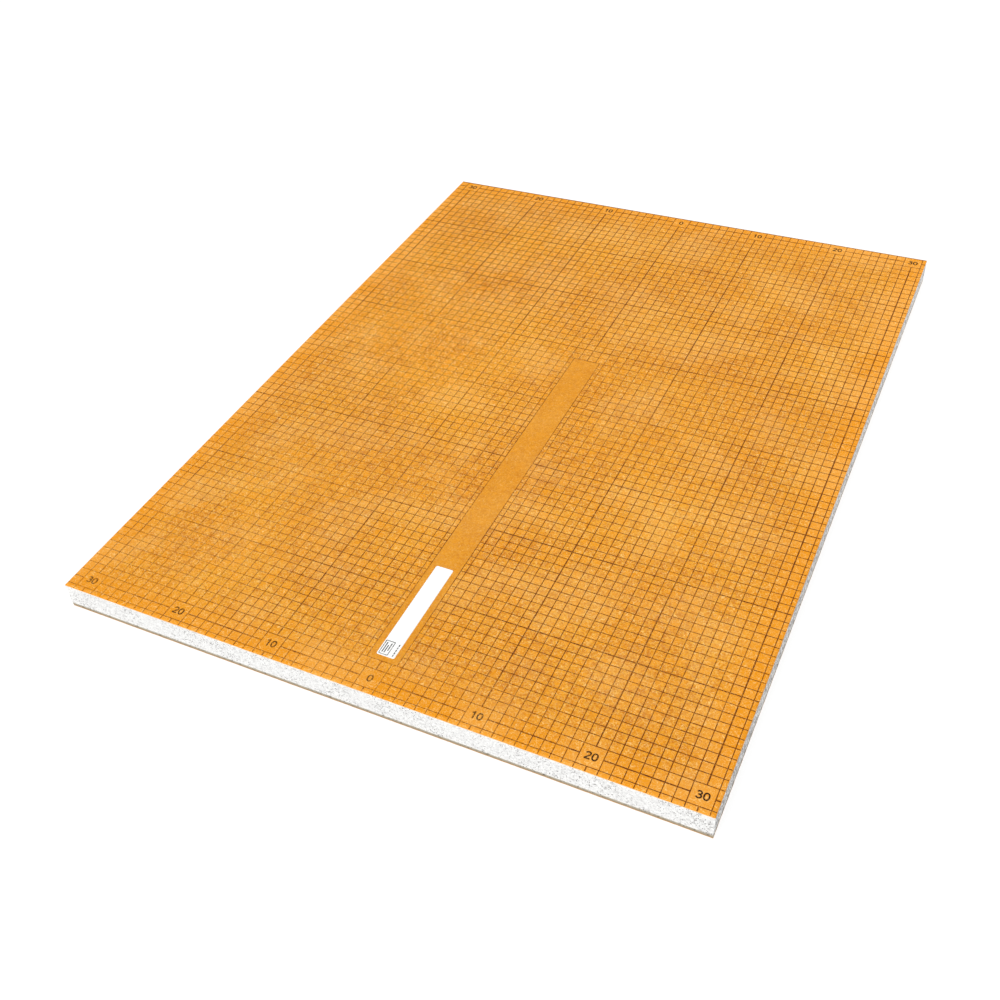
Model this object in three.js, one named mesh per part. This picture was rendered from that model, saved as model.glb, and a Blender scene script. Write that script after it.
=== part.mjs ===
// Foam tile backer board: a rigid foam core between two thin reinforced fleece-faced skins,
// with a paper label stuck on the printed face.
// Millimetres, +Z up. The board lies flat with its printed face up. The origin is the middle
// of the underside, X runs across the board and Y along it.

import * as THREE from 'three';

// Board, as cut
const BOARD_WIDTH = 625;
const BOARD_LENGTH = 826;

// Layers, from the floor up
const BOTTOM_FACING_THICKNESS = 2;
const CORE_THICKNESS = 25;
const TOP_FACING_THICKNESS = 1;

// Label, on the bare strip that runs along the printed face a little right of its middle
const LABEL_WIDTH = 17.5;
const LABEL_LENGTH = 112;
const LABEL_THICKNESS = 0.25;
const LABEL_FROM_NEAR_END = 40.5;
const LABEL_RIGHT_OF_MIDDLE = 8;

// Heights of the faces between the layers
const CORE_BOTTOM = BOTTOM_FACING_THICKNESS;
const CORE_TOP = CORE_BOTTOM + CORE_THICKNESS;
const PRINTED_FACE = CORE_TOP + TOP_FACING_THICKNESS;

const orangeFleece = new THREE.MeshStandardMaterial({ color: 0xe49a36, roughness: 0.9 });
const whiteFoam = new THREE.MeshStandardMaterial({ color: 0xf2f2ee, roughness: 0.8 });
const backFleece = new THREE.MeshStandardMaterial({ color: 0xd9943f, roughness: 0.9 });
const labelPaper = new THREE.MeshStandardMaterial({ color: 0xfafaf8, roughness: 0.55 });

// A flat layer of width x length x thickness, centred on x and y, with its underside at z.
function layer(name, width, length, thickness, x, y, z, material) {
  const mesh = new THREE.Mesh(new THREE.BoxGeometry(width, length, thickness), material);
  mesh.name = name;
  mesh.position.set(x, y, z + thickness / 2);
  return mesh;
}

// The core and its two skins, sawn flush at all four edges
function board() {
  const group = new THREE.Group();
  group.add(
    layer('bottom_facing', BOARD_WIDTH, BOARD_LENGTH, BOTTOM_FACING_THICKNESS, 0, 0, 0, backFleece),
    layer('foam_core', BOARD_WIDTH, BOARD_LENGTH, CORE_THICKNESS, 0, 0, CORE_BOTTOM, whiteFoam),
    layer('top_facing', BOARD_WIDTH, BOARD_LENGTH, TOP_FACING_THICKNESS, 0, 0, CORE_TOP, orangeFleece),
  );
  return group;
}

// The label, lengthways on the printed face, measured from the near end
function label() {
  const labelMiddle = -BOARD_LENGTH / 2 + LABEL_FROM_NEAR_END + LABEL_LENGTH / 2;
  return layer(
    'label', LABEL_WIDTH, LABEL_LENGTH, LABEL_THICKNESS,
    LABEL_RIGHT_OF_MIDDLE, labelMiddle, PRINTED_FACE, labelPaper,
  );
}

const part = new THREE.Group();
part.add(board(), label());

export default part;
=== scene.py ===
"""A foam tile backer board on a pale studio floor.

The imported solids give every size. This script dresses them: a sawn foam core, two fleece-faced
skins, the printed centimetre scale on the upper one, and the paper label stuck on it.
Everything is in metres, with the board's underside on z = 0, its width on X and its length on Y.
"""

import logging
from dataclasses import dataclass, field
from enum import Enum
from typing import Any, Iterable

import bpy
import numpy as np
from mathutils import Matrix, Vector


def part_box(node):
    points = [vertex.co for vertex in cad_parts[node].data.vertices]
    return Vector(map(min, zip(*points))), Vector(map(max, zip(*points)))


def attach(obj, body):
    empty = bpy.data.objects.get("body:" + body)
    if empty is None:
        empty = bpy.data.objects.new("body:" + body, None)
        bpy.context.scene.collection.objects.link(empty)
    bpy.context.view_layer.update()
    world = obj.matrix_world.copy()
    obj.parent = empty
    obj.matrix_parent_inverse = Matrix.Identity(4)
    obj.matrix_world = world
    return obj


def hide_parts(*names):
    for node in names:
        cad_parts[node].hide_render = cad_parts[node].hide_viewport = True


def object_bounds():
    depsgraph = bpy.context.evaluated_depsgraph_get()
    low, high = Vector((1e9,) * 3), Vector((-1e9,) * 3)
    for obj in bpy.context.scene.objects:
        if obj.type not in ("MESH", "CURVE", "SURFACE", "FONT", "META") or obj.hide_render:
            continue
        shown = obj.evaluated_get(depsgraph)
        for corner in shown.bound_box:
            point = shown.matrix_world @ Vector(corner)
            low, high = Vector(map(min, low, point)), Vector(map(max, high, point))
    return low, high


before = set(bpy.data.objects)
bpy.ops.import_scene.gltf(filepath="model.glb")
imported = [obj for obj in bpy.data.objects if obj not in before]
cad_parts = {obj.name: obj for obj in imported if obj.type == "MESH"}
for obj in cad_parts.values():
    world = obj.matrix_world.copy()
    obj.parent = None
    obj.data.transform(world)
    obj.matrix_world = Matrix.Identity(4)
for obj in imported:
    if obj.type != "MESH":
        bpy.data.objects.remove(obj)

log = logging.getLogger("backer_board")

MM = 0.001
BODY = "root"
CAD_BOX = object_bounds()

# Share of each skin's thickness that is fleece, from its outer face inwards
TOP_FLEECE_SHARE = 0.35
BACK_FLEECE_SHARE = 0.5


# Surfaces and meshes worked out with numpy


def lattice_noise(x: np.ndarray, y: np.ndarray, cell: float, seed: int) -> np.ndarray:
    """Smooth random values from 0 to 1 over a plane.

    A random value stands on each corner of a square lattice. Between corners the four nearest
    values are blended with the curve 3t^2 - 2t^3 of the distance along each side.

    Args:
        x: First coordinates, in metres.
        y: Second coordinates, in metres.
        cell: Side of a lattice square, in metres.
        seed: Picks the random values.

    Returns:
        One value for each point.
    """
    span = 512
    values = np.random.default_rng(seed).random((span, span))
    u, v = np.asarray(x) / cell, np.asarray(y) / cell
    i, j = np.floor(u).astype(int), np.floor(v).astype(int)
    s, t = u - i, v - j
    s, t = s * s * (3 - 2 * s), t * t * (3 - 2 * t)
    near = values[i % span, j % span] * (1 - s) + values[(i + 1) % span, j % span] * s
    far = values[i % span, (j + 1) % span] * (1 - s) + values[(i + 1) % span, (j + 1) % span] * s
    return near * (1 - t) + far * t


def grid_quads(rows: int, columns: int, first: int = 0) -> np.ndarray:
    """Quads between the points of a grid that is stored row by row.

    Args:
        rows: Number of rows of points.
        columns: Number of points in a row.
        first: Index of the grid's first point.

    Returns:
        An array of four indices a quad, turning left as seen from above rows that run up in y.
    """
    corner = (np.arange(rows - 1)[:, None] * columns + np.arange(columns - 1)).ravel() + first
    return np.stack([corner, corner + 1, corner + columns + 1, corner + columns], 1)


def ring_quads(lower: np.ndarray, upper: np.ndarray) -> np.ndarray:
    """Quads of the wall between two closed rings of as many points, one above the other.

    Args:
        lower: Indices of the lower ring, turning left as seen from above.
        upper: Indices of the upper ring, in the same order.

    Returns:
        An array of four indices a quad, facing out of the rings.
    """
    return np.stack([lower, np.roll(lower, -1), np.roll(upper, -1), upper], 1)


def fan(ring: np.ndarray, hub: int, up: bool) -> np.ndarray:
    """Triangles from a closed ring to one hub point.

    Args:
        ring: Indices of the ring, turning left as seen from above.
        hub: Index of the hub point.
        up: True for triangles that face up.

    Returns:
        An array of three indices a triangle.
    """
    ahead = np.roll(ring, -1)
    middle = np.full_like(ring, hub)
    return np.stack([ring, ahead, middle] if up else [ahead, ring, middle], 1)


def make_piece(
    name: str,
    points: np.ndarray,
    faces: Iterable[np.ndarray],
    materials: Iterable[bpy.types.Material],
    slots: Iterable[int] | None = None,
    smooth: Iterable[bool] | None = None,
) -> bpy.types.Object:
    """Makes a mesh object of arrays and links it to the scene.

    Args:
        name: Name of the object and its mesh.
        points: The vertices, in metres in the board's frame.
        faces: Arrays of faces, each with its own number of corners.
        materials: The object's material slots.
        slots: For each array of faces, the material slot it uses. The first slot if left out.
        smooth: For each array of faces, True for smooth shading. Flat shading if left out.

    Returns:
        The new object.
    """
    faces = list(faces)
    slots = list(slots) if slots is not None else [0] * len(faces)
    smooth = list(smooth) if smooth is not None else [False] * len(faces)
    corners = np.concatenate([f.ravel() for f in faces]).astype(np.int32)
    sizes = np.concatenate([np.full(len(f), f.shape[1]) for f in faces]).astype(np.int32)
    starts = np.concatenate([[0], np.cumsum(sizes)[:-1]]).astype(np.int32)
    slot_of = np.concatenate([np.full(len(f), s) for f, s in zip(faces, slots)]).astype(np.int32)
    smooth_of = np.concatenate([np.full(len(f), s) for f, s in zip(faces, smooth)])
    mesh = bpy.data.meshes.new(name)
    mesh.vertices.add(len(points))
    mesh.vertices.foreach_set("co", np.asarray(points, np.float32).ravel())
    mesh.loops.add(len(corners))
    mesh.loops.foreach_set("vertex_index", corners)
    mesh.polygons.add(len(sizes))
    mesh.polygons.foreach_set("loop_start", starts)
    mesh.polygons.foreach_set("material_index", slot_of)
    mesh.polygons.foreach_set("use_smooth", smooth_of)
    mesh.update(calc_edges=True)
    mesh.validate()
    for material in materials:
        mesh.materials.append(material)
    piece = bpy.data.objects.new(name, mesh)
    bpy.context.scene.collection.objects.link(piece)
    return piece


@dataclass
class Ground:
    """The slightly uneven top of the fleece, which the ink and the label follow.

    The height above the lowest level is the sum of two lattice noises, a wide one for the mesh
    and foam that show through and a narrow one for the felt itself. The shift moves the board
    to a part of the noises that lies wholly on one side of their origin.
    """

    level: float
    swell: float = 0.07 * MM
    swell_cell: float = 46 * MM
    felt: float = 0.05 * MM
    felt_cell: float = 17 * MM
    shift: float = 3.0
    seed: int = 11

    @classmethod
    def below(cls, top: float, seed: int = 11) -> "Ground":
        """Makes a ground whose highest points can just reach the given height."""
        return cls(top - (cls.swell + cls.felt), seed=seed)

    def height(self, x: np.ndarray, y: np.ndarray) -> np.ndarray:
        """Height above the floor at each point."""
        x, y = x + self.shift, y + self.shift
        wide = lattice_noise(x, y, self.swell_cell, self.seed)
        narrow = lattice_noise(x, y, self.felt_cell, self.seed + 1)
        return self.level + (self.swell * wide + self.felt * narrow)


@dataclass
class Films:
    """Thin closed strips of ink that are gathered into one mesh."""

    ground: Ground
    thickness: float = 0.03 * MM
    points: list[np.ndarray] = field(default_factory=list)
    quads: list[np.ndarray] = field(default_factory=list)
    count: int = 0

    def lay(self, path: np.ndarray, half_width: np.ndarray | float, lift: float,
            closed: bool = False) -> None:
        """Lays one strip along a path.

        A flat rectangle is carried along the path. Its corners stand half a width to the left
        and right of the path, square to the mean direction of the two neighbouring stretches,
        and the lift and the thickness above it over the ground.

        Args:
            path: The middle line, one point a row, x and y in metres.
            half_width: Half the strip's width, one value or one for each point.
            lift: Height of the strip's underside over the ground.
            closed: True for a loop whose last point meets the first.
        """
        path = np.asarray(path, float)
        if closed:
            ahead, behind = np.roll(path, -1, 0), np.roll(path, 1, 0)
        else:
            ahead = np.vstack([path[1:], 2 * path[-1] - path[-2]])
            behind = np.vstack([2 * path[0] - path[1], path[:-1]])
        along = ahead - behind
        along /= np.linalg.norm(along, axis=1, keepdims=True)
        half = np.broadcast_to(half_width, len(path))[:, None]
        left = half * np.stack([-along[:, 1], along[:, 0]], 1)
        sides = np.stack([path + left, path - left, path - left, path + left], 1)
        base = self.ground.height(sides[..., 0], sides[..., 1]) + lift
        z = base + np.array([0, 0, self.thickness, self.thickness])
        self.points.append(np.dstack([sides, z]).reshape(-1, 3))
        number = len(path)
        here = np.arange(number if closed else number - 1)
        there = (here + 1) % number
        edge = np.array([0, 1, 2, 3])
        beside = np.roll(edge, -1)
        walls = np.stack([
            here[:, None] * 4 + edge, here[:, None] * 4 + beside,
            there[:, None] * 4 + beside, there[:, None] * 4 + edge,
        ], 2).reshape(-1, 4)
        if not closed:
            last = (number - 1) * 4
            walls = np.vstack([walls, [3, 2, 1, 0], [last, last + 1, last + 2, last + 3]])
        self.quads.append(walls[:, ::-1] + self.count)
        self.count += len(self.points[-1])

    def piece(self, name: str, material: bpy.types.Material) -> bpy.types.Object:
        """Makes one mesh of all the strips laid so far."""
        return make_piece(name, np.vstack(self.points), [np.vstack(self.quads)], [material])


def straight(start: tuple[float, float], end: tuple[float, float], pitch: float) -> np.ndarray:
    """Points of a straight path about a pitch apart, both ends among them."""
    start, end = np.array(start), np.array(end)
    steps = max(1, int(np.ceil(np.linalg.norm(end - start) / pitch)))
    return start + (end - start) * np.linspace(0, 1, steps + 1)[:, None]


def arc(centre: tuple[float, float], radii: tuple[float, float], turn: tuple[float, float],
        steps: int = 20, power: float = 2.0) -> np.ndarray:
    """Points of a stretch of an ellipse, or of a squarer oval where power is over 2.

    A point at angle a stands at the centre plus the radii times the cosine and sine of a, each
    raised to 2 / power with its sign kept.
    """
    angle = np.radians(np.linspace(*turn, steps + 1))
    circle = np.stack([np.cos(angle), np.sin(angle)], 1)
    return np.array(centre) + np.array(radii) * np.sign(circle) * np.abs(circle) ** (2 / power)


# Shader helpers and the node groups that several finishes share


@dataclass(frozen=True)
class Noise:
    """One noise texture: lumps a metre, finer layers, how much those count, and a seed."""

    scale: float
    detail: float
    rough: float
    seed: float


class Wiring:
    """Adds nodes to one node tree and joins them."""

    SEED_STEPS = (1.0, 0.7, 1.3)
    MIX_INPUTS = (0, 6, 7)
    MIX_RESULT = 2

    def __init__(self, tree: bpy.types.NodeTree) -> None:
        """Keeps the tree and empties it."""
        self.tree = tree
        tree.nodes.clear()

    def fill(self, node: bpy.types.Node, inputs: dict[Any, Any]) -> bpy.types.Node:
        """Fills the inputs of a node.

        Args:
            node: The node.
            inputs: Input names or numbers, each with a value or with a socket to join.

        Returns:
            The same node.
        """
        for name, value in inputs.items():
            if isinstance(value, bpy.types.NodeSocket):
                self.tree.links.new(value, node.inputs[name])
            else:
                node.inputs[name].default_value = value
        return node

    def add(self, kind: str, inputs: dict[Any, Any] | None = None, **settings: Any) -> bpy.types.Node:
        """Adds a node.

        Args:
            kind: Blender's type name of the node.
            inputs: Input names or numbers, each with a value or with a socket to join.
            settings: Properties of the node.

        Returns:
            The new node.
        """
        node = self.tree.nodes.new(kind)
        for name, value in settings.items():
            setattr(node, name, value)
        return self.fill(node, inputs or {})

    def axes(self, vector: Any) -> Any:
        """Splits a vector and returns its three sockets."""
        return self.add("ShaderNodeSeparateXYZ", {0: vector}).outputs

    def noise(self, vector: Any, noise: Noise) -> bpy.types.NodeSocket:
        """Adds a noise texture, moved away by its seed, and returns its value."""
        shift = tuple(noise.seed * step for step in self.SEED_STEPS)
        moved = self.add("ShaderNodeVectorMath", {0: vector, 1: shift}, operation="ADD")
        node = self.add("ShaderNodeTexNoise", {
            "Vector": moved.outputs[0], "Scale": noise.scale, "Detail": noise.detail,
            "Roughness": noise.rough,
        })
        return node.outputs[0]

    def math(self, operation: str, a: Any, b: Any = 0.0, clamp: bool = False) -> bpy.types.NodeSocket:
        """Adds a Math node and returns its result."""
        node = self.add("ShaderNodeMath", {0: a, 1: b}, operation=operation, use_clamp=clamp)
        return node.outputs[0]

    def fold(self, operation: str, values: Iterable[Any]) -> bpy.types.NodeSocket:
        """Joins several values by one operation, from the first to the last."""
        joined, *others = values
        for value in others:
            joined = self.math(operation, joined, value)
        return joined

    def ramp(self, value: Any, low: float, high: float, to_low: Any = 0.0,
             to_high: Any = 1.0) -> bpy.types.NodeSocket:
        """Maps a value smoothly from low..high to to_low..to_high and returns it."""
        node = self.add("ShaderNodeMapRange", {
            "Value": value, "From Min": low, "From Max": high, "To Min": to_low, "To Max": to_high,
        }, interpolation_type="SMOOTHSTEP")
        return node.outputs[0]

    def mix(self, share: Any, first: Any, second: Any) -> bpy.types.NodeSocket:
        """Mixes two colours and returns the result."""
        inputs = dict(zip(self.MIX_INPUTS, (share, first, second)))
        return self.add("ShaderNodeMix", inputs, data_type="RGBA").outputs[self.MIX_RESULT]

    def bump(self, height: Any, distance: float) -> bpy.types.NodeSocket:
        """Adds a Bump node at full strength and returns its normal."""
        node = self.add("ShaderNodeBump", {"Height": height, "Distance": distance, "Strength": 1.0})
        return node.outputs[0]

    def group(self, tree: bpy.types.NodeTree, inputs: dict[str, Any]) -> bpy.types.Node:
        """Places a node group with its own values."""
        return self.add("ShaderNodeGroup", inputs, node_tree=tree)


def linear(red: int, green: int, blue: int) -> tuple[float, float, float, float]:
    """Turns a screen colour of 0 to 255 into a linear one with full alpha."""
    share = np.array([red, green, blue]) / 255
    value = np.where(share <= 0.04045, share / 12.92, ((share + 0.055) / 1.055) ** 2.4)
    return (*value.tolist(), 1.0)


def new_group(name: str, inputs: dict[str, str], outputs: dict[str, str]) -> tuple[Wiring, Any, Any]:
    """Starts a node group with named sockets.

    Args:
        name: Name of the group.
        inputs: Each input's name with its kind, Float, Vector or Color.
        outputs: Each output's name with its kind.

    Returns:
        The group's wiring, its input node and its output node.
    """
    tree = bpy.data.node_groups.new(name, "ShaderNodeTree")
    for side, sockets in (("INPUT", inputs), ("OUTPUT", outputs)):
        for socket, kind in sockets.items():
            tree.interface.new_socket(socket, in_out=side, socket_type=f"NodeSocket{kind}")
    wiring = Wiring(tree)
    return wiring, wiring.add("NodeGroupInput"), wiring.add("NodeGroupOutput")


@dataclass(frozen=True)
class FleecePattern:
    """The pressed fleece that the skins and the ink on them share.

    Fibres are the level lines of smooth noises: where a noise is within a hair of one half, a
    thin curved fibre shows, mixed towards the pale colour as a painted sheen. Three such webs lie
    over each other. Clouds, blotches and a fine mottle change the tone under them. Some blotches
    are dyed warmer, and pale places have faded. Depth turns the whole towards the warm colour.
    """

    clouds: Noise = Noise(9, 2, 0.5, 1.7)
    blotches: Noise = Noise(95, 2, 0.55, 4.1)
    mottle: Noise = Noise(520, 3, 0.6, 7.3)
    tone_weights: tuple[float, float, float] = (0.22, 0.20, 0.78)
    tone_middle: float = 0.60
    tone_gain: float = 4.4
    webs: tuple[tuple[Noise, float], ...] = (
        (Noise(150, 1, 0.4, 2.3), 0.011),
        (Noise(210, 1, 0.4, 5.9), 0.013),
        (Noise(290, 1, 0.4, 9.4), 0.016),
    )
    shine: float = 0.58
    dyed_between: tuple[float, float] = (0.42, 0.66)
    dyed_share: float = 0.6
    fading: Noise = Noise(15, 2, 0.5, 12.6)
    faded_between: tuple[float, float] = (0.44, 0.66)
    faded_share: float = 0.1
    thread_relief: float = 0.5
    mottle_relief: float = 0.6
    roughness: tuple[float, float] = (0.92, 0.72)

    def tone(self, wiring: Wiring, contrast: Any, noises: Iterable[Any]) -> Any:
        """Gives the place between dark and light."""
        shares = [wiring.math("MULTIPLY", *pair) for pair in zip(noises, self.tone_weights)]
        tone = wiring.math("SUBTRACT", wiring.fold("ADD", shares), self.tone_middle)
        gain = wiring.math("MULTIPLY", contrast, self.tone_gain)
        return wiring.math("ADD", wiring.math("MULTIPLY", tone, gain), 0.5, clamp=True)

    def threads(self, wiring: Wiring, vector: Any) -> Any:
        """Gives how much of a fibre shows."""
        shown = []
        for noise, half in self.webs:
            level = wiring.math("SUBTRACT", wiring.noise(vector, noise), 0.5)
            shown.append(wiring.ramp(wiring.math("ABSOLUTE", level), half, 0.0))
        return wiring.fold("MAXIMUM", shown)

    def build(self) -> bpy.types.NodeTree:
        """Builds the node group."""
        wiring, given, result = new_group(
            "pressed_fleece",
            {"Vector": "Vector", "Light": "Color", "Dark": "Color", "Warm": "Color", "Fade And Sheen": "Color",
             "Contrast": "Float", "Depth": "Float"},
            {"Color": "Color", "Height": "Float", "Roughness": "Float"},
        )
        vector, contrast = given.outputs["Vector"], given.outputs["Contrast"]
        warm, pale = given.outputs["Warm"], given.outputs["Fade And Sheen"]
        noises = [wiring.noise(vector, noise) for noise in (self.clouds, self.blotches, self.mottle)]
        blotches, mottle = noises[1:]
        tone = self.tone(wiring, contrast, noises)
        threads = self.threads(wiring, vector)
        colour = wiring.mix(tone, given.outputs["Dark"], given.outputs["Light"])
        dyed = wiring.math("MULTIPLY", wiring.ramp(blotches, *self.dyed_between),
                           wiring.math("MULTIPLY", contrast, self.dyed_share))
        colour = wiring.mix(wiring.math("MAXIMUM", dyed, given.outputs["Depth"]), colour, warm)
        faded = wiring.ramp(wiring.noise(vector, self.fading), *self.faded_between, 0.0, self.faded_share)
        colour = wiring.mix(wiring.math("MULTIPLY", faded, contrast), colour, pale)
        # Painted sheen: the fibres are mixed towards the pale colour
        shine = wiring.math("MULTIPLY", threads, wiring.math("MULTIPLY", contrast, self.shine))
        height = wiring.math("ADD", wiring.math("MULTIPLY", threads, self.thread_relief),
                             wiring.math("MULTIPLY", mottle, self.mottle_relief))
        wiring.fill(result, {
            "Color": wiring.mix(shine, colour, pale), "Height": height,
            "Roughness": wiring.ramp(threads, 0, 1, *self.roughness),
        })
        return wiring.tree


@dataclass(frozen=True)
class WornPrintPattern:
    """The share of a printed mark that its ink covers: patchy, streaky, bitten by the ground.

    Patches, streaks and bites are noises. Each is mapped from a range of its values, the first
    two numbers beside it, to what it adds to the fullness, the last two.
    """

    layers: tuple[tuple[Noise, tuple[float, float, float, float]], ...] = (
        (Noise(7, 2, 0.5, 3.3), (0.35, 0.65, -0.16, 0.12)),
        (Noise(60, 2, 0.6, 8.8), (0.3, 0.7, -0.10, 0.10)),
        (Noise(900, 2, 0.6, 6.2), (0.34, 0.56, -0.45, 0.12)),
    )

    def build(self) -> bpy.types.NodeTree:
        """Builds the node group."""
        wiring, given, result = new_group(
            "worn_print", {"Vector": "Vector", "Fullness": "Float"}, {"Cover": "Float"},
        )
        vector = given.outputs["Vector"]
        *shares, last = [wiring.ramp(wiring.noise(vector, noise), *span) for noise, span in self.layers]
        cover = wiring.fold("ADD", [given.outputs["Fullness"], *shares])
        wiring.fill(result, {"Cover": wiring.math("ADD", cover, last, clamp=True)})
        return wiring.tree


@dataclass(frozen=True)
class FineGrainPattern:
    """A fine even grain with small specks, for sawn foam, cut skins and paper.

    A speck is a dot in the middle of a cell of a Voronoi texture. Its radius is Speck Size
    times the red of the cell's random colour.
    """

    detail: float = 3.0
    rough: float = 0.6
    speck_edge: float = 0.16

    def build(self) -> bpy.types.NodeTree:
        """Builds the node group."""
        wiring, given, result = new_group(
            "fine_grain",
            {"Vector": "Vector", "Scale": "Float", "Speck Size": "Float"},
            {"Grain": "Float", "Specks": "Float"},
        )
        place = {"Vector": given.outputs["Vector"], "Scale": given.outputs["Scale"]}
        grain = wiring.add("ShaderNodeTexNoise", {**place, "Detail": self.detail, "Roughness": self.rough})
        cells = wiring.add("ShaderNodeTexVoronoi", place)
        red = wiring.add("ShaderNodeSeparateColor", {0: cells.outputs["Color"]}).outputs[0]
        size = wiring.math("MULTIPLY", given.outputs["Speck Size"], red)
        inside = wiring.math("SUBTRACT", size, cells.outputs["Distance"])
        wiring.fill(result, {
            "Grain": grain.outputs[0], "Specks": wiring.ramp(inside, 0.0, self.speck_edge),
        })
        return wiring.tree


@dataclass(frozen=True)
class Groups:
    """The shared node groups, built once."""

    fleece: bpy.types.NodeTree
    worn_print: bpy.types.NodeTree
    fine_grain: bpy.types.NodeTree


# Finishes


def start_material(name: str) -> tuple[bpy.types.Material, Wiring, Any]:
    """Starts a material and returns it with its wiring and its Object coordinates."""
    material = bpy.data.materials.new(name)
    material.use_nodes = True
    wiring = Wiring(material.node_tree)
    return material, wiring, wiring.add("ShaderNodeTexCoord").outputs["Object"]


def finish_surface(wiring: Wiring, colour: Any, roughness: Any, specular: float,
                   normal: Any = None) -> None:
    """Adds the Principled shader with these inputs and joins it to the output."""
    inputs = {"Base Color": colour, "Roughness": roughness, "Specular IOR Level": specular}
    if normal is not None:
        inputs["Normal"] = normal
    shader = wiring.add("ShaderNodeBsdfPrincipled", inputs)
    wiring.add("ShaderNodeOutputMaterial", {"Surface": shader.outputs[0]})


@dataclass(frozen=True)
class FleeceFinish:
    """Orange pressed fleece."""

    name: str = "orange_fleece"
    light: tuple = linear(230, 162, 46)
    dark: tuple = linear(196, 116, 20)
    warm: tuple = linear(228, 144, 14)
    # Pale colour of faded places, and of the painted sheen on the fibres
    fade_and_sheen: tuple = linear(255, 218, 142)
    contrast: float = 1.0
    calm_contrast: float = 0.4
    calm_centre: tuple[float, float] = (0.0, 0.0)
    calm_half: tuple[float, float] = (0.0, 0.0)
    calm_edge: float = 0.4 * MM
    rim_half: tuple[float, float] = (CAD_BOX[1][0], CAD_BOX[1][1])
    rim_reach: float = 55 * MM
    rim_depth: float = 0.9
    specular: float = 0.2
    bump: float = 0.10 * MM

    def strength(self, wiring: Wiring, vector: Any) -> Any:
        """Gives the pattern's strength, which drops to the calm one in the calm rectangle."""
        if not all(self.calm_half):
            return self.contrast
        place = wiring.axes(vector)
        shares = []
        for axis, middle, half in zip((0, 1), self.calm_centre, self.calm_half):
            away = wiring.math("ABSOLUTE", wiring.math("SUBTRACT", place[axis], middle))
            shares.append(wiring.ramp(away, half + self.calm_edge, half - self.calm_edge))
        inside = wiring.fold("MULTIPLY", shares)
        return wiring.ramp(inside, 0.0, 1.0, self.contrast, self.calm_contrast)

    def depth(self, wiring: Wiring, vector: Any) -> Any:
        """Gives the tone's depth, which grows towards the board's rim."""
        place = wiring.axes(vector)
        past = [
            wiring.math("SUBTRACT", wiring.math("ABSOLUTE", place[axis]), half - self.rim_reach)
            for axis, half in zip((0, 1), self.rim_half)
        ]
        return wiring.ramp(wiring.fold("MAXIMUM", past), 0.0, self.rim_reach, 0.0, self.rim_depth)

    def place(self, wiring: Wiring, groups: Groups, vector: Any) -> bpy.types.Node:
        """Places the shared fleece group with this finish's colours."""
        return wiring.group(groups.fleece, {
            "Vector": vector, "Light": self.light, "Dark": self.dark, "Warm": self.warm,
            "Fade And Sheen": self.fade_and_sheen, "Contrast": self.strength(wiring, vector),
            "Depth": self.depth(wiring, vector),
        })

    def build(self, groups: Groups) -> bpy.types.Material:
        """Builds the material."""
        material, wiring, vector = start_material(self.name)
        fleece = self.place(wiring, groups, vector)
        finish_surface(wiring, fleece.outputs["Color"], fleece.outputs["Roughness"], self.specular,
                       wiring.bump(fleece.outputs["Height"], self.bump))
        return material


@dataclass(frozen=True)
class InkFinish:
    """Brown ink that has sunk into the fleece, with fibres showing through it."""

    name: str
    fleece: FleeceFinish
    ink: tuple = linear(104, 50, 6)
    near_left: float = 0.66
    far_left: float = 1.3
    right: float = 1.03
    across: tuple[float, float] = (-0.22, 0.34)
    along: tuple[float, float] = (0.0, 0.4)

    def build(self, groups: Groups) -> bpy.types.Material:
        """Builds the material. The print took less ink on the left, and least at the near end."""
        material, wiring, vector = start_material(self.name)
        fleece = self.fleece.place(wiring, groups, vector)
        x, y, _ = wiring.axes(vector)
        left = wiring.ramp(y, *self.along, self.near_left, self.far_left)
        fullness = wiring.ramp(x, *self.across, left, self.right)
        cover = wiring.group(groups.worn_print, {"Vector": vector, "Fullness": fullness})
        colour = wiring.mix(cover.outputs["Cover"], fleece.outputs["Color"], self.ink)
        finish_surface(wiring, colour, fleece.outputs["Roughness"], self.fleece.specular,
                       wiring.bump(fleece.outputs["Height"], self.fleece.bump))
        return material


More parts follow.
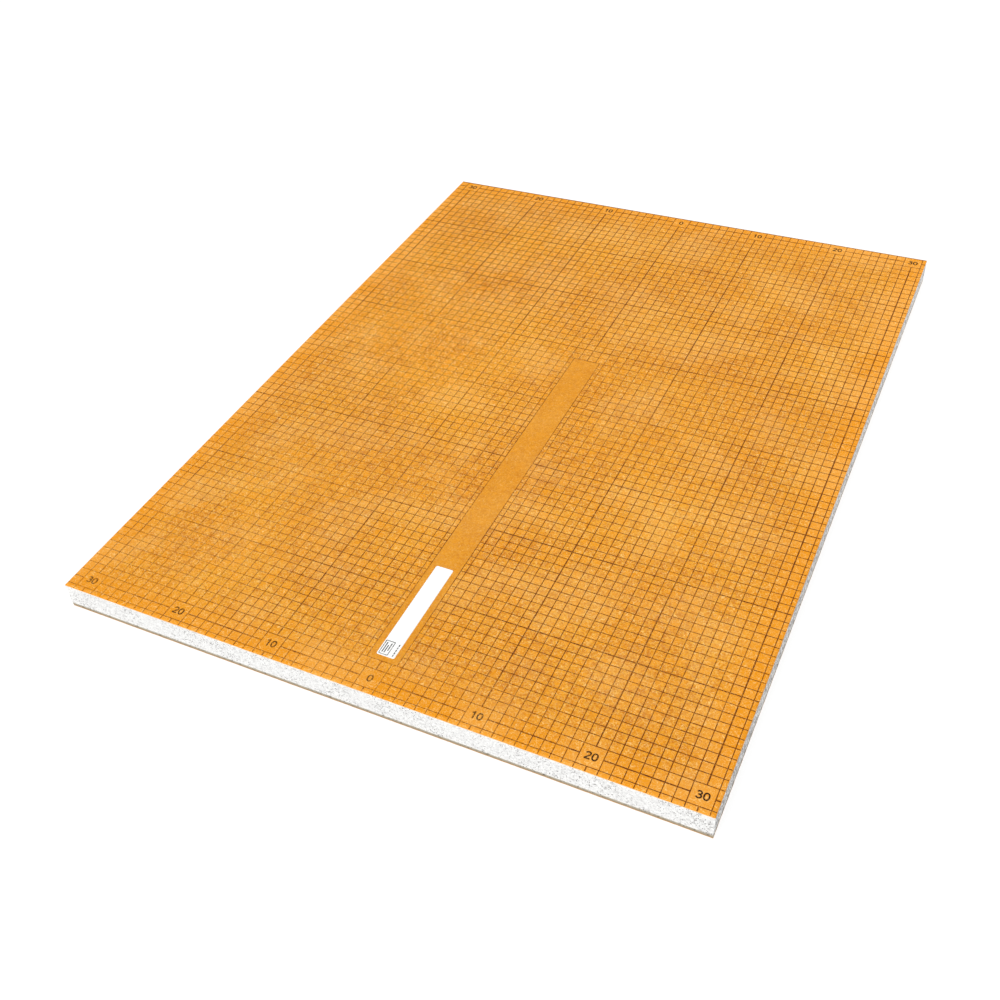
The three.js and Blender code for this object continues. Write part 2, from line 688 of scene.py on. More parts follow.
@dataclass(frozen=True)
class FoamFinish:
    """White rigid foam, sawn: a fine closed cell, with painted shade in its open cells and in the pits
    where the saw tore beads out.

    A span is two values of a noise or a place, between which something starts and is full.
    """

    name: str = "sawn_foam"
    white: tuple = linear(224, 224, 222)
    shade: tuple = linear(205, 204, 203)
    shade_span: tuple[float, float] = (0.35, 0.65)
    # Colour of the painted shade in cells, hollows and tears
    pit: tuple = linear(92, 86, 84)
    # Tan band just above the seam: its colour, strength and reach
    seam_tint: tuple = linear(154, 140, 116)
    seam_tint_share: float = 0.9
    seam: float = 0.0
    seam_tint_reach: tuple[float, float] = (1.6 * MM, 2.9 * MM)
    specks_per_m: float = 740
    speck_size: float = 0.5
    hollow_shade_share: float = 0.5
    clusters: Noise = Noise(42, 2, 0.5, 3.9)
    cluster_span: tuple[float, float] = (0.4, 0.62)
    calm_share: tuple[float, float] = (0.4, 0.9)
    across: tuple[float, float] = (-0.3, 0.3)
    across_share: tuple[float, float] = (0.95, 1.1)
    tears_per_m: float = 540
    tear_size: float = 0.85
    tear_stretch: float = 0.5
    tear_share: float = 0.75
    tear_span: tuple[float, float] = (0.25, 1.0)
    crumb_span: tuple[float, float] = (0.56, 0.42)
    crumb_share: float = 0.4
    roughness: tuple[float, float, float, float] = (0.3, 0.7, 0.7, 0.9)
    specular: float = 0.3
    bump: float = 0.22 * MM

    def calm_shade(self, wiring: Wiring, vector: Any, grain: Any) -> Any:
        """Gives the painted shade on a clean cut: dark specks in the cells and in the hollows, in loose
        clusters.
        """
        hollow = wiring.add("ShaderNodeAttribute", attribute_name=SawnCore.PIT).outputs["Fac"]
        fine = wiring.math("MAXIMUM", grain.outputs["Specks"],
                           wiring.math("MULTIPLY", hollow, self.hollow_shade_share))
        clusters = wiring.ramp(wiring.noise(vector, self.clusters), *self.cluster_span, *self.calm_share)
        across = wiring.ramp(wiring.axes(vector)[0], *self.across, *self.across_share)
        return wiring.math("MULTIPLY", fine, wiring.math("MULTIPLY", clusters, across))

    def rough_shade(self, wiring: Wiring, groups: Groups, vector: Any, grain: Any) -> Any:
        """Gives the painted shade on a rough cut: dark in coarse upright tears and crumbs."""
        upright = wiring.add("ShaderNodeVectorMath", {0: vector, 1: (1.0, 1.0, self.tear_stretch)},
                             operation="MULTIPLY")
        torn = wiring.group(groups.fine_grain, {
            "Vector": upright.outputs[0], "Scale": self.tears_per_m, "Speck Size": self.tear_size,
        })
        tears = wiring.math("MULTIPLY", torn.outputs["Specks"], self.tear_share)
        crumbs = wiring.ramp(grain.outputs["Grain"], *self.crumb_span, 0.0, self.crumb_share)
        tear = wiring.add("ShaderNodeAttribute", attribute_name=SawnCore.TEAR).outputs["Fac"]
        return wiring.math("MULTIPLY", wiring.math("MAXIMUM", tears, crumbs),
                           wiring.ramp(tear, *self.tear_span))

    def build(self, groups: Groups) -> bpy.types.Material:
        """Builds the material.

        The mesh's pit attribute paints shade into its larger hollows, and its tear attribute says how
        roughly the saw went there and how much shade the tears get. A tan band tints the foam just above
        the seam.
        """
        material, wiring, vector = start_material(self.name)
        grain = wiring.group(groups.fine_grain, {
            "Vector": vector, "Scale": self.specks_per_m, "Speck Size": self.speck_size,
        })
        tone = wiring.ramp(grain.outputs["Grain"], *self.shade_span)
        colour = wiring.mix(tone, self.shade, self.white)
        # A tan band tints the foam just above the seam with the lower skin, fading out upwards
        tint_foot, tint_top = (self.seam + reach for reach in self.seam_tint_reach)
        glued = wiring.ramp(wiring.axes(vector)[2], tint_foot, tint_top, self.seam_tint_share, 0.0)
        colour = wiring.mix(glued, colour, self.seam_tint)
        # Painted shade in the cells, hollows and tears, mixed in the pit colour below
        dark = wiring.math("MAXIMUM", self.calm_shade(wiring, vector, grain),
                           self.rough_shade(wiring, groups, vector, grain), clamp=True)
        height = wiring.math("SUBTRACT", grain.outputs["Grain"], dark)
        finish_surface(wiring, wiring.mix(dark, colour, self.pit),
                       wiring.ramp(grain.outputs["Grain"], *self.roughness), self.specular,
                       wiring.bump(height, self.bump))
        return material


@dataclass(frozen=True)
class CutEdgeFinish:
    """The sawn edge of a skin: fleece from the seam's height to the face's, backing inside."""

    name: str
    outside: tuple
    inside: tuple
    seam: float
    face: float
    seam_blur: float = 0.15
    grains_per_m: float = 700
    speck_size: float = 0.3
    raggedness: tuple[float, float, float, float] = (0.3, 0.7, 0.25, -0.25)
    roughness: tuple[float, float, float, float] = (0.3, 0.7, 0.8, 0.95)
    specular: float = 0.2
    bump: float = 0.15 * MM

    def build(self, groups: Groups) -> bpy.types.Material:
        """Builds the material."""
        material, wiring, vector = start_material(self.name)
        grain = wiring.group(groups.fine_grain, {
            "Vector": vector, "Scale": self.grains_per_m, "Speck Size": self.speck_size,
        }).outputs["Grain"]
        blur = self.seam_blur * (self.face - self.seam)
        layer = wiring.ramp(wiring.axes(vector)[2], self.seam - blur, self.seam + blur)
        share = wiring.math("ADD", layer, wiring.ramp(grain, *self.raggedness), clamp=True)
        finish_surface(wiring, wiring.mix(share, self.inside, self.outside),
                       wiring.ramp(grain, *self.roughness), self.specular,
                       wiring.bump(grain, self.bump))
        return material


@dataclass(frozen=True)
class PaperFinish:
    """White coated label paper."""

    name: str = "label_paper"
    white: tuple = linear(250, 250, 248)
    shade: tuple = linear(240, 240, 238)
    shade_span: tuple[float, float] = (0.3, 0.7)
    grains_per_m: float = 1400.0
    roughness: tuple[float, float, float, float] = (0.3, 0.7, 0.42, 0.55)
    specular: float = 0.4
    bump: float = 0.01 * MM

    def build(self, groups: Groups) -> bpy.types.Material:
        """Builds the material."""
        material, wiring, vector = start_material(self.name)
        grain = wiring.group(groups.fine_grain, {
            "Vector": vector, "Scale": self.grains_per_m, "Speck Size": 0.0,
        }).outputs["Grain"]
        finish_surface(wiring, wiring.mix(wiring.ramp(grain, *self.shade_span), self.shade, self.white),
                       wiring.ramp(grain, *self.roughness), self.specular,
                       wiring.bump(grain, self.bump))
        return material


@dataclass(frozen=True)
class LabelInkFinish:
    """Grey toner on the label."""

    name: str = "label_ink"
    ink: tuple = linear(38, 36, 40)
    paper: tuple = linear(225, 225, 223)
    fullness: float = 1.05
    roughness: tuple[float, float] = (0.5, 0.7)
    specular: float = 0.4

    def build(self, groups: Groups) -> bpy.types.Material:
        """Builds the material."""
        material, wiring, vector = start_material(self.name)
        cover = wiring.group(groups.worn_print, {"Vector": vector, "Fullness": self.fullness})
        cover = cover.outputs["Cover"]
        finish_surface(wiring, wiring.mix(cover, self.paper, self.ink),
                       wiring.ramp(cover, 0, 1, *self.roughness), self.specular)
        return material


@dataclass(frozen=True)
class FloorFinish:
    """A white studio floor that glows a little, so that only a faint shadow lies on it."""

    name: str = "studio_floor"
    glow: float = 0.9
    white: float = 0.16

    def build(self) -> bpy.types.Material:
        """Builds the material."""
        material, wiring, _ = start_material(self.name)
        shader = wiring.add("ShaderNodeBsdfDiffuse", {"Color": (self.white,) * 3 + (1.0,)})
        glow = wiring.add("ShaderNodeEmission", {"Color": (1, 1, 1, 1), "Strength": self.glow})
        both = wiring.add("ShaderNodeAddShader", {0: shader.outputs[0], 1: glow.outputs[0]})
        wiring.add("ShaderNodeOutputMaterial", {"Surface": both.outputs[0]})
        return material


# The board's own pieces


def put(piece: bpy.types.Object, slot: str, *nodes: str) -> bpy.types.Object:
    """Lets a piece ride on the board and hides the solids it stands for."""
    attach(piece, BODY)
    if nodes:
        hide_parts(*nodes)
    log.info("%s: %d faces", piece.name, len(piece.data.polygons))
    return piece


class Side(Enum):
    """Which way a skin's fleece faces."""

    UP = 1
    DOWN = -1


@dataclass
class Skin:
    """A fleece-faced skin, glued flat to the core and sawn flush with it."""

    name: str
    node: str
    slot: str
    side: Side
    ground: Ground
    pitch: float = 2.9 * MM
    fray: float = 0.22 * MM
    fray_cell: float = 1.6 * MM
    fray_shift: float = 9.0
    fray_seed: int = 31

    def surface(self) -> tuple[np.ndarray, int, int]:
        """Works out the fleece face.

        The face is a grid of points, x across and y along. Its height is the ground's. Points
        on the rim are drawn in from the saw cut by a lattice noise along the rim.

        Returns:
            The points, the number of rows and the number of columns.
        """
        low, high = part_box(self.node)
        columns = int((high.x - low.x) / self.pitch) + 1
        rows = int((high.y - low.y) / self.pitch) + 1
        x, y = np.meshgrid(np.linspace(low.x, high.x, columns), np.linspace(low.y, high.y, rows))
        z = self.ground.height(x, y)
        u, v = x + y + self.fray_shift, x - y + self.fray_shift
        torn = self.fray * lattice_noise(u, v, self.fray_cell, self.fray_seed)
        x[:, 0] += torn[:, 0]
        x[:, -1] -= torn[:, -1]
        y[0, :] += torn[0, :]
        y[-1, :] -= torn[-1, :]
        return np.dstack([x, y, z]).reshape(-1, 3), rows, columns

    def build(self, fleece: bpy.types.Material, cut: bpy.types.Material) -> bpy.types.Object:
        """Builds the skin as a closed sheet: fleece face, sawn rim and glued back."""
        low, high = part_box(self.node)
        face, rows, columns = self.surface()
        index = np.arange(rows * columns).reshape(rows, columns)
        rim = np.concatenate([index[0, :-1], index[:-1, -1], index[-1, :0:-1], index[:0:-1, 0]])
        back = face[rim].copy()
        back[:, 2] = low.z
        hub = np.array([[(low.x + high.x) / 2, (low.y + high.y) / 2, low.z]])
        points = np.vstack([face, back, hub])
        lower = np.arange(len(rim)) + len(face)
        faces = [grid_quads(rows, columns), ring_quads(lower, rim), fan(lower, len(points) - 1, False)]
        if self.side is Side.DOWN:
            points[:, 2] = low.z + high.z - points[:, 2]
            faces = [f[:, ::-1] for f in faces]
        piece = make_piece(self.name, points, faces, [fleece, cut], [0, 1, 1], [True, False, False])
        return put(piece, self.slot, self.node)


@dataclass
class SawnCore:
    """The foam slab between the skins, with torn beads on its four sawn sides."""

    PIT = "pit"
    TEAR = "tear"

    name: str = "sawn_core"
    node: str = "foam_core"
    slot: str = "core_foam"
    pitch: float = 1.25 * MM
    levels: int = 21
    pit_cell: float = 1.9 * MM
    pit_depth: float = 0.45 * MM
    pit_from: float = 0.74
    pit_rise: float = 0.2
    pit_seed: int = 52
    side_tear: float = 1.0
    end_tear: float = 0.25
    tear_least: float = 0.8
    tear_swing: float = 0.4
    wave_cell: float = 14 * MM
    wave_depth: float = 0.12 * MM
    wave_from: float = 0.3
    wave_seed: int = 51
    noise_shift: float = 1.0

    def ring(self) -> tuple[np.ndarray, np.ndarray, np.ndarray]:
        """Walks round the slab's outline, turning left as seen from above.

        Returns:
            The outline's points, the inward direction at each, and the distance walked.
        """
        low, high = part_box(self.node)
        corners = np.array([[low.x, low.y], [high.x, low.y], [high.x, high.y], [low.x, high.y]])
        points, inward = [], []
        for start, end in zip(corners, np.roll(corners, -1, 0)):
            side = straight(start, end, self.pitch)[:-1]
            along = (end - start) / np.linalg.norm(end - start)
            normal = np.tile([-along[1], along[0]], (len(side), 1))
            normal[0] += [along[0], along[1]]
            points.append(side)
            inward.append(normal)
        points, inward = np.vstack(points), np.vstack(inward)
        steps = np.linalg.norm(np.diff(points, axis=0), axis=1)
        return points, inward, np.concatenate([[0], np.cumsum(steps)])

    def build(self, foam: bpy.types.Material) -> bpy.types.Object:
        """Builds the slab.

        A side is a grid of points, one way round the outline and the other up the edge. Each
        point is drawn in by a broad lattice noise for the saw's wander, and by a fine one,
        where it passes a threshold, for the beads torn out. Flat lids close the slab.
        """
        low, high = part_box(self.node)
        outline, inward, walked = self.ring()
        height = np.linspace(low.z, high.z, self.levels)
        distance, z = np.meshgrid(walked, height)
        wave = lattice_noise(distance, z + self.noise_shift, self.wave_cell, self.wave_seed)
        beads = lattice_noise(distance, z + self.noise_shift, self.pit_cell, self.pit_seed)
        pit = np.clip((beads - self.pit_from) / self.pit_rise, 0, 1)
        depth = self.wave_depth * np.maximum(wave - self.wave_from, 0) + self.pit_depth * pit
        flat = outline[None] + inward[None] * depth[..., None]
        number = len(outline)
        middle = [(low.x + high.x) / 2, (low.y + high.y) / 2]
        points = np.vstack([
            np.dstack([flat, z]).reshape(-1, 3), [[*middle, low.z]], [[*middle, high.z]],
        ])
        rings = np.arange(self.levels * number).reshape(self.levels, number)
        walls = np.stack([ring_quads(a, b) for a, b in zip(rings[:-1], rings[1:])])
        corner = np.abs(inward).min(1) > 0.5
        by_corner = corner | np.roll(corner, -1)
        lids = np.vstack([fan(rings[0], len(points) - 2, False), fan(rings[-1], len(points) - 1, True)])
        faces = [walls[:, ~by_corner].reshape(-1, 4), walls[:, by_corner].reshape(-1, 4), lids]
        piece = make_piece(self.name, points, faces, [foam], smooth=[True, False, False])
        # The pit and tear attributes steer the foam material's painted shade: pit for the hollows, tear
        # for the tears, full on the long sides and a quarter on the ends
        on_side = np.abs(inward[:, 0]) > np.abs(inward[:, 1])
        tear = np.where(on_side, self.side_tear, self.end_tear)
        tear = np.broadcast_to(tear, pit.shape) * (self.tear_least + self.tear_swing * wave)
        for name, values in ((self.PIT, pit), (self.TEAR, tear)):
            shade = piece.data.attributes.new(name, "FLOAT", "POINT")
            shade.data.foreach_set("value", np.append(values.ravel(), [0, 0]).astype(np.float32))
        return put(piece, self.slot, self.node)


class Ink(Enum):
    """The two weights of printed line, as half widths in metres."""

    FINE = 0.38 * MM
    BOLD = 0.6 * MM


@dataclass
class PrintedScale:
    """The centimetre scale: a grid, numbers at both ends, and a bare strip at the zero line.

    Columns are counted in squares from the zero line, and rows from the near row of numbers.
    The last number on the right stands nine squares from the one before it, as printed.
    """

    ground: Ground
    cell: float = 10 * MM
    zero_line: float = 8 * MM
    numbers: tuple[tuple[int, str], ...] = (
        (-30, "30"), (-20, "20"), (-10, "10"), (0, "0"), (10, "10"), (20, "20"), (29, "30"),
    )
    number_step: int = 10
    number_row_margin: float = 15 * MM
    rows: int = 80
    strip_half_cells: float = 1.5
    strip_first_row: int = 2
    strip_last_row: int = 48
    pitch: float = 5 * MM
    rim: float = 0.4 * MM
    row_lift: float = 0.05 * MM
    column_lift: float = 0.02 * MM
    figure_lift: float = 0.08 * MM
    ragged: float = 0.2
    ragged_cell: float = 6 * MM
    ragged_stretch: tuple[float, float] = (1.7, 1.3)
    ragged_shift: float = 5.0
    ragged_seed: int = 61
    figure_height: float = 7.5 * MM
    figure_stroke: float = 1.3 * MM
    figure_breadth: float = 1.08
    figure_advance: float = 0.72
    slot: str = "orange_fleece"

    def __post_init__(self) -> None:
        """Reads the board's edges from the frame."""
        low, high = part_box("top_facing")
        self.low = np.array([low.x + self.rim, low.y + self.rim])
        self.high = np.array([high.x - self.rim, high.y - self.rim])
        self.first_row_y = low.y + self.number_row_margin
        self.numbered = [column for column, _ in self.numbers]

    def x_of(self, column: float) -> float:
        """Place across the board of a column."""
        return self.zero_line + column * self.cell

    def y_of(self, row: float) -> float:
        """Place along the board of a row."""
        return self.first_row_y + row * self.cell

    def calm_centre(self) -> tuple[float, float]:
        """Middle of the bare strip."""
        return self.zero_line, self.y_of((self.strip_first_row + self.strip_last_row) / 2)

    def calm_half(self) -> tuple[float, float]:
        """Half the bare strip's width and length."""
        rows = self.strip_last_row - self.strip_first_row
        return self.strip_half_cells * self.cell, rows * self.cell / 2

    def draw(self, films: Films, start: tuple, end: tuple, ink: Ink, lift: float) -> None:
        """Draws one straight line whose width wanders a little, as a lattice noise says."""
        path = straight(start, end, self.pitch)
        u, v = (path * self.ragged_stretch + self.ragged_shift).T
        wander = lattice_noise(u, v, self.ragged_cell, self.ragged_seed)
        films.lay(path, ink.value * (1 + self.ragged * (2 * wander - 1)), lift)

    def row_gaps(self, row: int) -> list[tuple[float, float]]:
        """Stretches of a row, in cells from the middle, that its line leaves out."""
        if row in (0, self.rows):
            return [(column - 1, column + 1) for column in self.numbered]
        if self.strip_first_row < row < self.strip_last_row:
            return [(-self.strip_half_cells, self.strip_half_cells)]
        return []

    def column_gaps(self, column: int) -> list[tuple[float, float]]:
        """Stretches of a column, in rows, that its line leaves out."""
        gaps = []
        if column in self.numbered:
            gaps += [(-1, 1), (self.rows - 1, self.rows + 1)]
        if abs(column) < self.strip_half_cells:
            gaps.append((self.strip_first_row, self.strip_last_row))
        return sorted(gaps)

    def pieces_between(self, low: float, high: float, gaps: list) -> list[tuple[float, float]]:
        """Splits low..high into the stretches that lie outside the gaps."""
        edges = [low, *[edge for gap in gaps for edge in gap], high]
        return [(a, b) for a, b in zip(edges[::2], edges[1::2]) if b - a > self.rim]

    def row_lines(self) -> Films:
        """Draws the lines across the board, and the two ends of the bare strip."""
        films = Films(self.ground)
        for row in range(-1, self.rows + 2):
            gaps = [(self.x_of(a), self.x_of(b)) for a, b in self.row_gaps(row)]
            ink = Ink.BOLD if row % self.number_step == 0 else Ink.FINE
            for a, b in self.pieces_between(self.low[0], self.high[0], gaps):
                self.draw(films, (a, self.y_of(row)), (b, self.y_of(row)), ink, self.row_lift)
        return films

    def column_lines(self) -> Films:
        """Draws the lines along the board, and the two sides of the bare strip."""
        films = Films(self.ground)
        for column in range(self.numbered[0] - 1, self.numbered[-1] + 2):
            x = self.x_of(column)
            gaps = [(self.y_of(a), self.y_of(b)) for a, b in self.column_gaps(column)]
            ink = Ink.BOLD if column in self.numbered else Ink.FINE
            for a, b in self.pieces_between(self.low[1], self.high[1], gaps):
                self.draw(films, (x, a), (x, b), ink, self.column_lift)
        near, far = self.y_of(self.strip_first_row), self.y_of(self.strip_last_row)
        for side in (-self.strip_half_cells, self.strip_half_cells):
            x = self.x_of(side)
            self.draw(films, (x, near), (x, far), Ink.FINE, self.column_lift)
        return films

    def strokes(self, figure: str) -> list[tuple[np.ndarray, bool]]:
        """Middle lines of a figure's pen strokes.

        The figures are plain ones, drawn in a box one unit high with x = 0 in its middle. Bowls
        are arcs, and stems are straight.

        Args:
            figure: One of 0, 1, 2 and 3.

        Returns:
            Each stroke's points, with True where the stroke is a closed loop.
        """
        half = self.figure_stroke / self.figure_height / 2
        top, foot = 1 - half, half
        if figure == "0":
            return [(arc((0, 0.5), (0.25, 0.5 - half), (0, 360), 36, 2.25)[:-1], True)]
        if figure == "1":
            stem = straight((0.07, 0), (0.07, 1), 0.25)
            flag = straight((-0.19, 0.75), (0.07, top - 0.03), 0.1)
            return [(stem, False), (flag, False)]
        if figure == "2":
            bowl = arc((0.0, 0.70), (0.235, top - 0.70), (172, -32), 20)
            slope = straight(tuple(bowl[-1]), (-0.225, foot + 0.035), 0.1)[1:]
            base = straight((-0.30, foot), (0.29, foot), 0.2)
            return [(np.vstack([bowl, slope]), False), (base, False)]
        waist = 0.53
        upper = arc((-0.01, (top + waist) / 2), (0.215, (top - waist) / 2), (158, -90), 20)
        lower = arc((-0.01, (waist + foot) / 2), (0.25, (waist - foot) / 2), (90, -160), 24)
        tongue = straight((-0.10, waist), (0.02, waist), 0.06)
        return [(upper, False), (lower, False), (tongue, False)]

    def figures(self) -> Films:
        """Draws the numbers at both ends, all upright as read from the near end."""
        films = Films(self.ground)
        size = np.array([self.figure_breadth, 1.0]) * self.figure_height
        advance = self.figure_advance * size[0]
        for row in (0, self.rows):
            for column, text in self.numbers:
                left = self.x_of(column) - advance * (len(text) - 1) / 2
                foot = self.y_of(row) - self.figure_height / 2
                for place, figure in enumerate(text):
                    for path, closed in self.strokes(figure):
                        corner = np.array([left + place * advance, foot])
                        films.lay(corner + path * size, self.figure_stroke / 2, self.figure_lift, closed)
        return films

    def build(self, ink: bpy.types.Material, figure_ink: bpy.types.Material) -> None:
        """Builds the printed pieces."""
        put(self.row_lines().piece("scale_rows", ink), self.slot)
        put(self.column_lines().piece("scale_columns", ink), self.slot)
        put(self.figures().piece("scale_numbers", figure_ink), self.slot)


@dataclass
class PaperLabel:
    """The adhesive label on the bare strip, with a plain pattern of bars at its near end."""

    ground: Ground
    node: str = "label"
    slot: str = "label_paper"
    thickness: float = 0.11 * MM
    lift: float = 0.01 * MM
    corner: float = 1.4 * MM
    curl: float = 0.08 * MM
    curl_from: float = 0.75
    across: int = 19
    along: int = 90
    ink_thickness: float = 0.01 * MM
    ink_pitch: float = 4 * MM
    frame_across: tuple[float, float] = (-7.3 * MM, 1.2 * MM)
    frame_along: tuple[float, float] = (1.6 * MM, 16.5 * MM)
    frame_half_width: float = 0.4 * MM
    bars: tuple[tuple[float, float], ...] = ((0.12, 0.88), (0.12, 0.7), (0.3, 0.88))
    bar_half_width: float = 0.55 * MM
    dash_across: float = 6 * MM
    dash_step: float = 3.0 * MM
    dash_length: float = 2.3 * MM
    dash_pitch: float = 1 * MM
    dash_half_width: float = 0.6 * MM

    def surface(self) -> np.ndarray:
        """Works out the label's face.

        The first parameter runs across and the second along. The half width is the full one,
        less what a quarter circle takes off near each end. The far end lifts with the square of
        the distance past the place where the curl begins.

        Returns:
            The points as rows by columns by three.
        """
        low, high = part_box(self.node)
        half_width, half_length = (high.x - low.x) / 2, (high.y - low.y) / 2
        v = np.sin(np.linspace(-np.pi / 2, np.pi / 2, self.along)) * half_length
        past = np.maximum(np.abs(v) - (half_length - self.corner), 0)
        half = half_width - self.corner + np.sqrt(np.maximum(self.corner**2 - past**2, 0))
        u = np.linspace(-1, 1, self.across)
        x = (low.x + high.x) / 2 + u[None] * half[:, None]
        y = np.broadcast_to(((low.y + high.y) / 2 + v)[:, None], x.shape)
        lifted = (v / half_length - self.curl_from) / (1 - self.curl_from)
        bend = self.curl * np.maximum(lifted, 0)[:, None] ** 2
        return np.dstack([x, y, self.ground.height(x, y) + self.lift + bend])

    def build(self, paper: bpy.types.Material) -> bpy.types.Object:
        """Builds the label as a closed sheet."""
        under = self.surface()
        rows, columns = under.shape[:2]
        over = under + np.array([0, 0, self.thickness])
        count = rows * columns
        index = np.arange(count).reshape(rows, columns)
        rim = np.concatenate([index[0, :-1], index[:-1, -1], index[-1, :0:-1], index[:0:-1, 0]])
        faces = [
            grid_quads(rows, columns, count), grid_quads(rows, columns)[:, ::-1],
            ring_quads(rim, rim + count),
        ]
        points = np.vstack([under.reshape(-1, 3), over.reshape(-1, 3)])
        piece = make_piece("paper_label", points, faces, [paper], smooth=[True, True, False])
        return put(piece, self.slot, self.node)

    def marks(self, ink: bpy.types.Material) -> bpy.types.Object:
        """Prints plain bars in a frame, and a row of dashes beside them."""
        low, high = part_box(self.node)
        films = Films(self.ground, thickness=self.ink_thickness)
        lift = self.lift + self.thickness
        middle = (low.x + high.x) / 2
        left, right = (middle + edge for edge in self.frame_across)
        near, far = (low.y + edge for edge in self.frame_along)
        for start, end in (((left, near), (left, far)), ((right, near), (right, far)),
                           ((left, near), (right, near)), ((left, far), (right, far))):
            films.lay(straight(start, end, self.ink_pitch), self.frame_half_width, lift)
        for number, (start, end) in enumerate(self.bars, 1):
            x = left + number * (right - left) / (len(self.bars) + 1)
            foot, top = (x, near + start * (far - near)), (x, near + end * (far - near))
            films.lay(straight(foot, top, self.ink_pitch), self.bar_half_width, lift)
        x = middle + self.dash_across
        for y in np.arange(near, far, self.dash_step):
            dash = straight((x, y), (x, y + self.dash_length), self.dash_pitch)
            films.lay(dash, self.dash_half_width, lift)
        return put(films.piece("label_bars", ink), self.slot)


# The studio


@dataclass(frozen=True)
class StudioCamera:
    """The camera, placed as the photograph was taken: from the near right, looking down."""

    eye: tuple[float, float, float] = (0.4111, -0.8827, 0.7868)
    target: tuple[float, float, float] = (0.0081, -0.1453, 0.014)
    roll: float = -4.8226
    lens: float = 41.56
    sensor: float = 36.0
    clip: tuple[float, float] = (0.05, 50.0)

    def build(self) -> bpy.types.Object:
        """Builds the camera: it looks from the eye to the target and leans by the roll."""
        ahead = (Vector(self.target) - Vector(self.eye)).normalized()
        right = ahead.cross(Vector((0, 0, 1))).normalized()
        up = right.cross(ahead)
        turn = np.radians(self.roll)
        side = right * float(np.cos(turn)) + up * float(np.sin(turn))
        crown = side.cross(ahead)
        data = bpy.data.cameras.new("studio_camera")
        data.lens, data.sensor_width, data.sensor_fit = self.lens, self.sensor, "HORIZONTAL"
        data.clip_start, data.clip_end = self.clip
        camera = bpy.data.objects.new("studio_camera", data)
        turned = Matrix((side, crown, -ahead)).transposed().to_4x4()
        camera.matrix_world = Matrix.Translation(self.eye) @ turned
        bpy.context.scene.collection.objects.link(camera)
        bpy.context.scene.camera = camera
        return camera


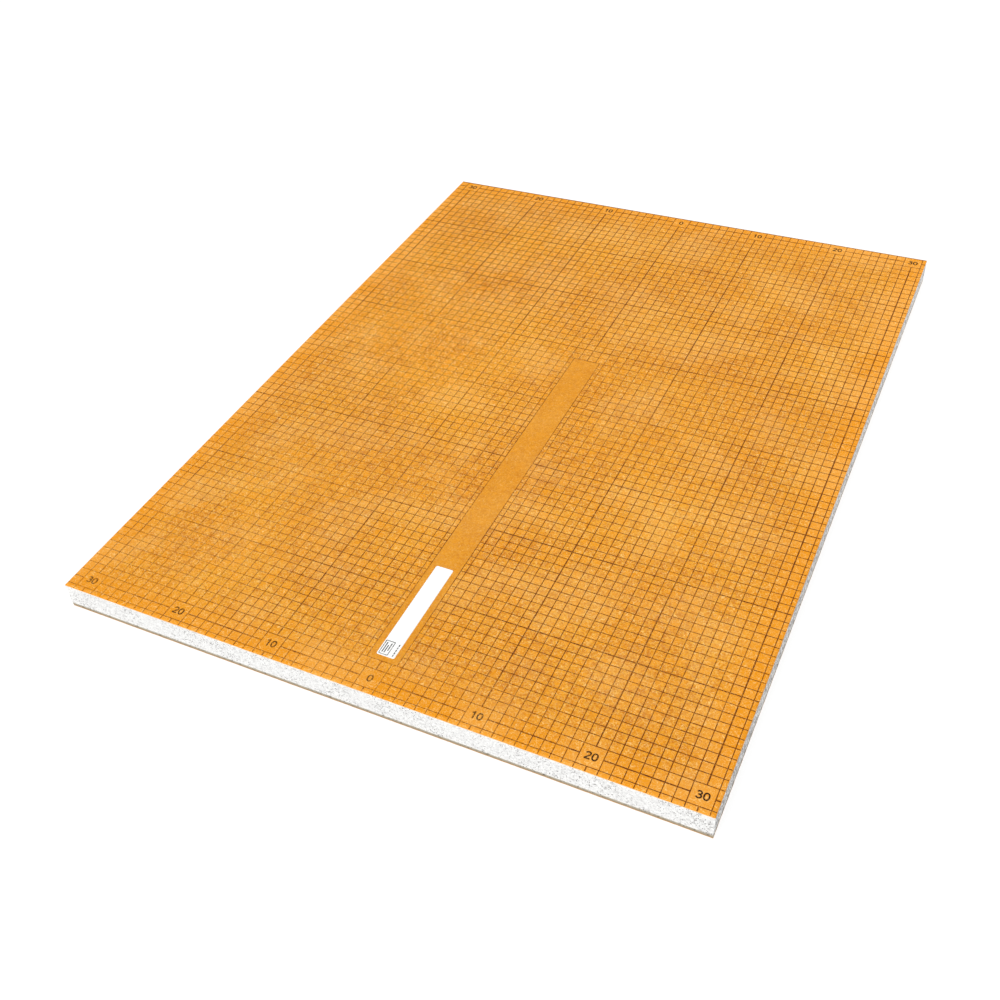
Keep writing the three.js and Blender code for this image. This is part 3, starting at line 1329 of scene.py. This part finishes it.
@dataclass(frozen=True)
class Studio:
    """White surroundings, a soft key light from the near left, a low fill, and a pale cove floor."""

    sky: float = 0.42
    key: float = 2.72
    key_from: tuple[float, float, float] = (-0.36, -0.82, 1.0)
    key_softness_deg: float = 28.0
    fill: float = 12.0
    fill_from: tuple[float, float, float] = (1.7, 1.1, 0.42)
    fill_at: tuple[float, float, float] = (0.31, 0.3, 0.014)
    fill_size: float = 0.8
    floor_drop: float = 0.2 * MM
    flat_radius: float = 7.0
    cove: tuple[float, float] = (5.0, 4.6)
    cove_rings: int = 12
    around: int = 72

    def floor(self) -> bpy.types.Object:
        """Builds the floor.

        It is flat out to the flat radius. Beyond it the surface rises along a quarter ellipse of
        the cove's breadth and height, and one outline turned about the upright axis makes it all.
        """
        rise = np.linspace(0, np.pi / 2, self.cove_rings)
        radius = self.flat_radius + self.cove[0] * np.sin(rise)
        height = self.cove[1] * (1 - np.cos(rise)) - self.floor_drop
        turn = np.linspace(0, 2 * np.pi, self.around, endpoint=False)
        rings = np.stack([
            np.column_stack([r * np.cos(turn), r * np.sin(turn), np.full(self.around, z)])
            for r, z in zip(radius, height)
        ])
        points = np.vstack([rings.reshape(-1, 3), [[0, 0, -self.floor_drop]]])
        number = np.arange(self.cove_rings * self.around).reshape(self.cove_rings, self.around)
        walls = np.vstack([ring_quads(a, b)[:, ::-1] for a, b in zip(number[:-1], number[1:])])
        faces = [fan(number[0], len(points) - 1, True), walls]
        return make_piece("floor", points, faces, [FloorFinish().build()], smooth=[True, True])

    def surround(self) -> None:
        """Builds the even white light from all sides."""
        world = bpy.data.worlds.new("studio_surroundings")
        world.use_nodes = True
        background = world.node_tree.nodes["Background"]
        background.inputs["Color"].default_value = (1, 1, 1, 1)
        background.inputs["Strength"].default_value = self.sky
        bpy.context.scene.world = world

    def lamp(self, data: bpy.types.Light, from_target: Vector) -> bpy.types.Object:
        """Makes a lamp that shines against the direction in which it stands from its target."""
        lamp = bpy.data.objects.new(data.name, data)
        lamp.rotation_mode = "QUATERNION"
        lamp.rotation_quaternion = from_target.to_track_quat("Z", "Y")
        bpy.context.scene.collection.objects.link(lamp)
        return lamp

    def build(self) -> None:
        """Builds the lights and the floor and sets plain colours."""
        bpy.context.scene.view_settings.view_transform = "Standard"
        self.surround()
        sun = bpy.data.lights.new("key_light", "SUN")
        sun.energy, sun.angle = self.key, float(np.radians(self.key_softness_deg))
        self.lamp(sun, Vector(self.key_from))
        panel = bpy.data.lights.new("fill_light", "AREA")
        panel.energy, panel.size = self.fill, self.fill_size
        fill = self.lamp(panel, Vector(self.fill_from) - Vector(self.fill_at))
        fill.location = self.fill_from
        self.floor()


def main() -> None:
    """Builds the studio, then the board from the core outwards."""
    logging.basicConfig(level=logging.INFO, format="%(name)s: %(message)s")
    StudioCamera().build()
    Studio().build()
    groups = Groups(FleecePattern().build(), WornPrintPattern().build(), FineGrainPattern().build())
    top_low, top_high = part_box("top_facing")
    back_low, back_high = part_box("bottom_facing")
    top_ground = Ground.below(top_high.z)
    back_ground = Ground.below(back_high.z, seed=23)
    scale = PrintedScale(top_ground)
    fleece = FleeceFinish(calm_centre=scale.calm_centre(), calm_half=scale.calm_half())
    plain = FleeceFinish()
    back = FleeceFinish(name="back_fleece", light=linear(232, 160, 66), dark=linear(204, 126, 36))
    top_seam = top_high.z - TOP_FLEECE_SHARE * (top_high.z - top_low.z)
    back_seam = back_low.z + BACK_FLEECE_SHARE * (back_high.z - back_low.z)
    SawnCore().build(FoamFinish(seam=back_high.z).build(groups))
    Skin("lower_skin", "bottom_facing", "back_fleece", Side.DOWN, back_ground).build(
        back.build(groups),
        # The lower cut edge is painted darker and duller than the upper one: partly the skin's own fleece
        # and backing, partly painted shade low on the board
        CutEdgeFinish("shaded_lower_cut_edge", outside=linear(188, 144, 94), inside=linear(138, 126, 104),
                      seam=back_seam, face=back_low.z).build(groups),
    )
    Skin("upper_skin", "top_facing", "orange_fleece", Side.UP, top_ground).build(
        fleece.build(groups),
        CutEdgeFinish("upper_cut_edge", outside=linear(206, 138, 52), inside=linear(228, 206, 172),
                      seam=top_seam, face=top_high.z).build(groups),
    )
    scale.build(
        InkFinish("scale_ink", plain).build(groups),
        InkFinish("number_ink", plain, ink=linear(52, 26, 8), near_left=0.78, right=1.2).build(groups),
    )
    label = PaperLabel(top_ground)
    label.build(PaperFinish().build(groups))
    label.marks(LabelInkFinish().build(groups))


if __name__ == "__main__":
    main()
